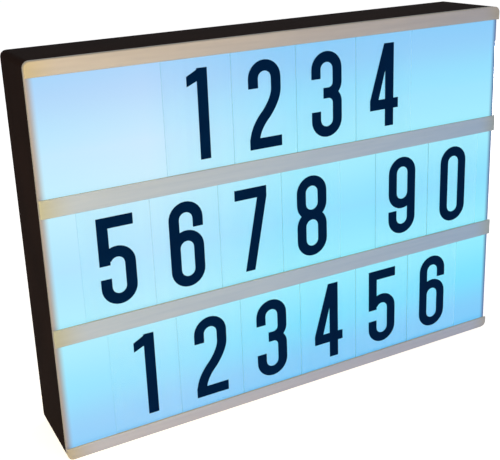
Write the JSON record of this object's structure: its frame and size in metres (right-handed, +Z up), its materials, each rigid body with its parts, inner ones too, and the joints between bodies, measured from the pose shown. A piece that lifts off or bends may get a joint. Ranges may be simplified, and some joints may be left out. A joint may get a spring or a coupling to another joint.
{
  "type": "cinema light box",
  "caption": "Free-standing light box with a glowing opal front, rails that hold sliding message tiles, and a battery bay, switch and power socket in the back.",
  "frame": {"origin": "middle of the footprint, on the surface that the box stands on", "axes": "+X to the right of a viewer in front of the box, +Y from the front to the back, +Z up"},
  "size_m": [0.3, 0.05, 0.22],
  "materials": {
    "black_abs": "black moulded ABS with a fine satin texture",
    "opal_acrylic": "opal acrylic sheet, lit from behind, cool white",
    "rail_plastic": "ivory moulded styrene, satin",
    "clear_film": "clear polyester film with a black screen-printed numeral",
    "reflector_white": "white matt sheet",
    "lamp_strip": "white solder mask with small white lamps",
    "board_laminate": "green solder mask over glass laminate",
    "cell_sleeve": "plain dark shrink sleeve over a steel can",
    "contact_steel": "nickel-plated spring steel",
    "black_steel": "black oxide",
    "socket_nylon": "black moulded nylon",
    "wire_red": "red insulated wire",
    "wire_black": "black insulated wire"
  },
  "bodies": {
    "root": {"rear_case": "black_abs", "diffuser_panel": "opal_acrylic", "rail_bottom": "rail_plastic", "rail_lower_middle": "rail_plastic", "rail_upper_middle": "rail_plastic", "rail_top": "rail_plastic", "reflector_sheet": "reflector_white", "lamp_bar_lower": "lamp_strip", "lamp_bar_upper": "lamp_strip", "battery_cell_1": "cell_sleeve", "battery_cell_2": "cell_sleeve", "battery_cell_3": "cell_sleeve", "battery_cell_4": "cell_sleeve", "battery_cell_5": "cell_sleeve", "battery_cell_6": "cell_sleeve", "contact_positive": "contact_steel", "contact_negative": "contact_steel", "contact_top_2_3": "contact_steel", "contact_top_4_5": "contact_steel", "contact_bottom_1_2": "contact_steel", "contact_bottom_3_4": "contact_steel", "contact_bottom_5_6": "contact_steel", "control_board": "board_laminate", "board_screw_1": "contact_steel", "board_screw_2": "contact_steel", "switch_housing": "contact_steel", "power_socket": "socket_nylon", "battery_wire_red": "wire_red", "battery_wire_black": "wire_black", "lamp_wire_upper": "wire_red", "lamp_wire_lower": "wire_red", "case_screw_lower_left": "black_steel", "case_screw_lower_middle": "black_steel", "case_screw_lower_right": "black_steel", "case_screw_upper_left": "black_steel", "case_screw_upper_middle": "black_steel", "case_screw_upper_right": "black_steel"},
    "tile_upper_1": {"tile_upper_1": "clear_film"},
    "tile_upper_2": {"tile_upper_2": "clear_film"},
    "tile_upper_3": {"tile_upper_3": "clear_film"},
    "tile_upper_4": {"tile_upper_4": "clear_film"},
    "tile_middle_1": {"tile_middle_1": "clear_film"},
    "tile_middle_2": {"tile_middle_2": "clear_film"},
    "tile_middle_3": {"tile_middle_3": "clear_film"},
    "tile_middle_4": {"tile_middle_4": "clear_film"},
    "tile_middle_5": {"tile_middle_5": "clear_film"},
    "tile_middle_6": {"tile_middle_6": "clear_film"},
    "tile_lower_1": {"tile_lower_1": "clear_film"},
    "tile_lower_2": {"tile_lower_2": "clear_film"},
    "tile_lower_3": {"tile_lower_3": "clear_film"},
    "tile_lower_4": {"tile_lower_4": "clear_film"},
    "tile_lower_5": {"tile_lower_5": "clear_film"},
    "tile_lower_6": {"tile_lower_6": "clear_film"},
    "battery_door": {"battery_door": "black_abs"},
    "switch_knob": {"switch_knob": "black_abs"}
  },
  "joints": [
    {"name": "tile_upper_1_slide", "type": "slide", "parent": "root", "child": "tile_upper_1", "axis": [1, 0, 0], "range_m": [-0.0699, 0]},
    {"name": "tile_upper_2_slide", "type": "slide", "parent": "tile_upper_1", "child": "tile_upper_2", "axis": [1, 0, 0], "range_m": [0, 0.0224]},
    {"name": "tile_upper_3_slide", "type": "slide", "parent": "tile_upper_2", "child": "tile_upper_3", "axis": [1, 0, 0], "range_m": [0, 0.0224]},
    {"name": "tile_upper_4_slide", "type": "slide", "parent": "tile_upper_3", "child": "tile_upper_4", "axis": [1, 0, 0], "range_m": [0, 0.0224]},
    {"name": "tile_middle_1_slide", "type": "slide", "parent": "root", "child": "tile_middle_1", "axis": [1, 0, 0], "range_m": [-0.0179, 0]},
    {"name": "tile_middle_2_slide", "type": "slide", "parent": "tile_middle_1", "child": "tile_middle_2", "axis": [1, 0, 0], "range_m": [0, 0.0024]},
    {"name": "tile_middle_3_slide", "type": "slide", "parent": "tile_middle_2", "child": "tile_middle_3", "axis": [1, 0, 0], "range_m": [0, 0.0024]},
    {"name": "tile_middle_4_slide", "type": "slide", "parent": "tile_middle_3", "child": "tile_middle_4", "axis": [1, 0, 0], "range_m": [0, 0.0024]},
    {"name": "tile_middle_5_slide", "type": "slide", "parent": "tile_middle_4", "child": "tile_middle_5", "axis": [1, 0, 0], "range_m": [-0.0256, 0.0024]},
    {"name": "tile_middle_6_slide", "type": "slide", "parent": "tile_middle_5", "child": "tile_middle_6", "axis": [1, 0, 0], "range_m": [0, 0.0024]},
    {"name": "tile_lower_1_slide", "type": "slide", "parent": "root", "child": "tile_lower_1", "axis": [1, 0, 0], "range_m": [-0.0287, 0]},
    {"name": "tile_lower_2_slide", "type": "slide", "parent": "tile_lower_1", "child": "tile_lower_2", "axis": [1, 0, 0], "range_m": [0, 0.0054]},
    {"name": "tile_lower_3_slide", "type": "slide", "parent": "tile_lower_2", "child": "tile_lower_3", "axis": [1, 0, 0], "range_m": [0, 0.0054]},
    {"name": "tile_lower_4_slide", "type": "slide", "parent": "tile_lower_3", "child": "tile_lower_4", "axis": [1, 0, 0], "range_m": [0, 0.0054]},
    {"name": "tile_lower_5_slide", "type": "slide", "parent": "tile_lower_4", "child": "tile_lower_5", "axis": [1, 0, 0], "range_m": [0, 0.0054]},
    {"name": "tile_lower_6_slide", "type": "slide", "parent": "tile_lower_5", "child": "tile_lower_6", "axis": [1, 0, 0], "range_m": [0, 0.0054]},
    {"name": "battery_door_hinge", "type": "hinge", "parent": "root", "child": "battery_door", "pos_m": [0, 0.025, 0.07005], "axis": [-1, 0, 0], "range_deg": [0, 75]},
    {"name": "switch_knob_slide", "type": "slide", "parent": "root", "child": "switch_knob", "axis": [1, 0, 0], "range_m": [-0.004, 0]}
  ]
}
